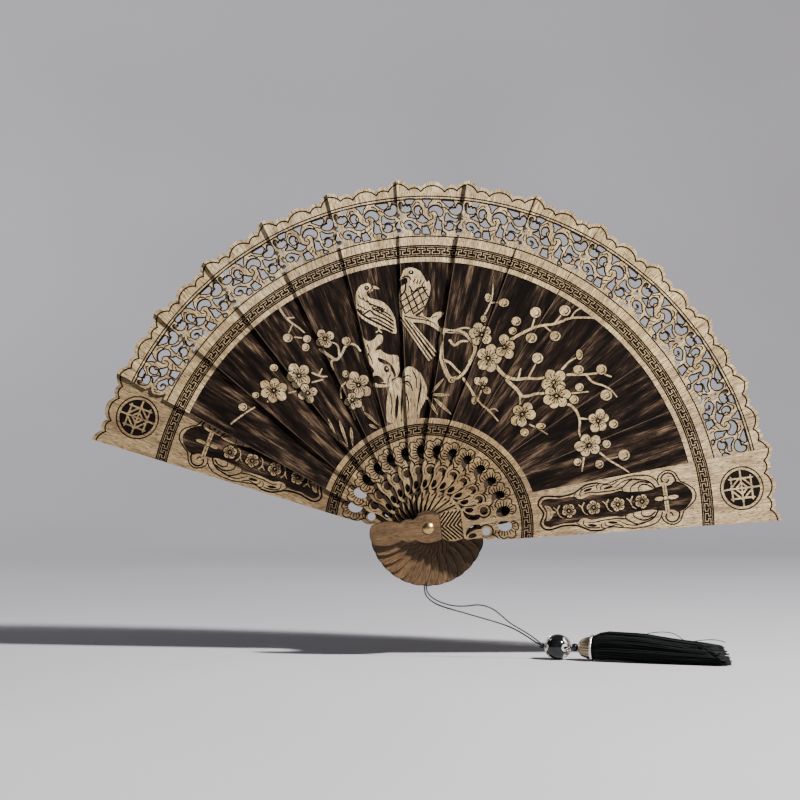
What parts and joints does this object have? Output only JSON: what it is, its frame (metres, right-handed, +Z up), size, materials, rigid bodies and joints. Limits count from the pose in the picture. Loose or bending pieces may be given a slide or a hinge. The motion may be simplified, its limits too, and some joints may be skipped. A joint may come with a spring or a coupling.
{
  "type": "folding fan",
  "caption": "Open folding hand fan of carved, pierced sandalwood sticks on one rivet, with linking ribbon and a beaded tassel cord.",
  "frame": {"origin": "on the rivet's axis, in the middle of the stack of sticks", "axes": "+Y along the rivet from the front guard to the rear guard, +Z up with the fan standing open, +X to the viewer's right"},
  "size_m": [0.3909, 0.0572, 0.2727],
  "materials": {
    "sandalwood": "satin carved wood with burnt lines",
    "ribbon": "thin woven silk ribbon",
    "brass": "polished, lightly tarnished",
    "cord_thread": "twisted dark green thread",
    "dark_bead": "polished black bead",
    "silver": "oxidised silver-coloured metal",
    "tassel_thread": "dark green silk threads"
  },
  "bodies": {
    "front_guard": {"front_guard": "sandalwood", "link_ribbon_01": "ribbon", "rivet": "brass", "rivet_washer": "brass", "rivet_cap": "brass", "cord_bight": "cord_thread", "cord_strand_a": "cord_thread", "cord_strand_b": "cord_thread", "cord_knot": "cord_thread", "bead": "dark_bead", "bead_cap_near": "silver", "bead_cap_far": "silver", "knot_bead": "dark_bead", "tassel_core": "cord_thread", "tassel_cap": "silver", "tassel_cap_rim": "silver", "tassel_skirt": "tassel_thread"},
    "leaf_01": {"leaf_01": "sandalwood", "link_ribbon_02": "ribbon"},
    "leaf_02": {"leaf_02": "sandalwood", "link_ribbon_03": "ribbon"},
    "leaf_03": {"leaf_03": "sandalwood", "link_ribbon_04": "ribbon"},
    "leaf_04": {"leaf_04": "sandalwood", "link_ribbon_05": "ribbon"},
    "leaf_05": {"leaf_05": "sandalwood", "link_ribbon_06": "ribbon"},
    "leaf_06": {"leaf_06": "sandalwood", "link_ribbon_07": "ribbon"},
    "leaf_07": {"leaf_07": "sandalwood", "link_ribbon_08": "ribbon"},
    "leaf_08": {"leaf_08": "sandalwood", "link_ribbon_09": "ribbon"},
    "leaf_09": {"leaf_09": "sandalwood", "link_ribbon_10": "ribbon"},
    "leaf_10": {"leaf_10": "sandalwood", "link_ribbon_11": "ribbon"},
    "leaf_11": {"leaf_11": "sandalwood", "link_ribbon_12": "ribbon"},
    "leaf_12": {"leaf_12": "sandalwood", "link_ribbon_13": "ribbon"},
    "rear_guard": {"rear_guard": "sandalwood"}
  },
  "joints": [
    {"name": "fan_fold", "type": "hinge", "parent": "front_guard", "child": "rear_guard", "pos_m": [0, 0, 0], "axis": [0, 1, 0], "range_deg": [0, 152.1]},
    {"name": "leaf_01_turn", "type": "hinge", "parent": "front_guard", "child": "leaf_01", "pos_m": [0, 0, 0], "axis": [0, 1, 0], "range_deg": [0, 11.71]},
    {"name": "leaf_02_turn", "type": "hinge", "parent": "front_guard", "child": "leaf_02", "pos_m": [0, 0, 0], "axis": [0, 1, 0], "range_deg": [0, 23.41]},
    {"name": "leaf_03_turn", "type": "hinge", "parent": "front_guard", "child": "leaf_03", "pos_m": [0, 0, 0], "axis": [0, 1, 0], "range_deg": [0, 35.11]},
    {"name": "leaf_04_turn", "type": "hinge", "parent": "front_guard", "child": "leaf_04", "pos_m": [0, 0, 0], "axis": [0, 1, 0], "range_deg": [0, 46.81]},
    {"name": "leaf_05_turn", "type": "hinge", "parent": "front_guard", "child": "leaf_05", "pos_m": [0, 0, 0], "axis": [0, 1, 0], "range_deg": [0, 58.51]},
    {"name": "leaf_06_turn", "type": "hinge", "parent": "front_guard", "child": "leaf_06", "pos_m": [0, 0, 0], "axis": [0, 1, 0], "range_deg": [0, 70.21]},
    {"name": "leaf_07_turn", "type": "hinge", "parent": "front_guard", "child": "leaf_07", "pos_m": [0, 0, 0], "axis": [0, 1, 0], "range_deg": [0, 81.91]},
    {"name": "leaf_08_turn", "type": "hinge", "parent": "front_guard", "child": "leaf_08", "pos_m": [0, 0, 0], "axis": [0, 1, 0], "range_deg": [0, 93.61]},
    {"name": "leaf_09_turn", "type": "hinge", "parent": "front_guard", "child": "leaf_09", "pos_m": [0, 0, 0], "axis": [0, 1, 0], "range_deg": [0, 105.31]},
    {"name": "leaf_10_turn", "type": "hinge", "parent": "front_guard", "child": "leaf_10", "pos_m": [0, 0, 0], "axis": [0, 1, 0], "range_deg": [0, 117.01]},
    {"name": "leaf_11_turn", "type": "hinge", "parent": "front_guard", "child": "leaf_11", "pos_m": [0, 0, 0], "axis": [0, 1, 0], "range_deg": [0, 128.71]},
    {"name": "leaf_12_turn", "type": "hinge", "parent": "front_guard", "child": "leaf_12", "pos_m": [0, 0, 0], "axis": [0, 1, 0], "range_deg": [0, 140.41]}
  ],
  "couplings": [
    {"joint": "leaf_01_turn", "follows": "fan_fold", "ratio": 0.076923},
    {"joint": "leaf_02_turn", "follows": "fan_fold", "ratio": 0.15385},
    {"joint": "leaf_03_turn", "follows": "fan_fold", "ratio": 0.23077},
    {"joint": "leaf_04_turn", "follows": "fan_fold", "ratio": 0.30769},
    {"joint": "leaf_05_turn", "follows": "fan_fold", "ratio": 0.38461},
    {"joint": "leaf_06_turn", "follows": "fan_fold", "ratio": 0.46154},
    {"joint": "leaf_07_turn", "follows": "fan_fold", "ratio": 0.53846},
    {"joint": "leaf_08_turn", "follows": "fan_fold", "ratio": 0.61538},
    {"joint": "leaf_09_turn", "follows": "fan_fold", "ratio": 0.69231},
    {"joint": "leaf_10_turn", "follows": "fan_fold", "ratio": 0.76923},
    {"joint": "leaf_11_turn", "follows": "fan_fold", "ratio": 0.84615},
    {"joint": "leaf_12_turn", "follows": "fan_fold", "ratio": 0.92308}
  ]
}
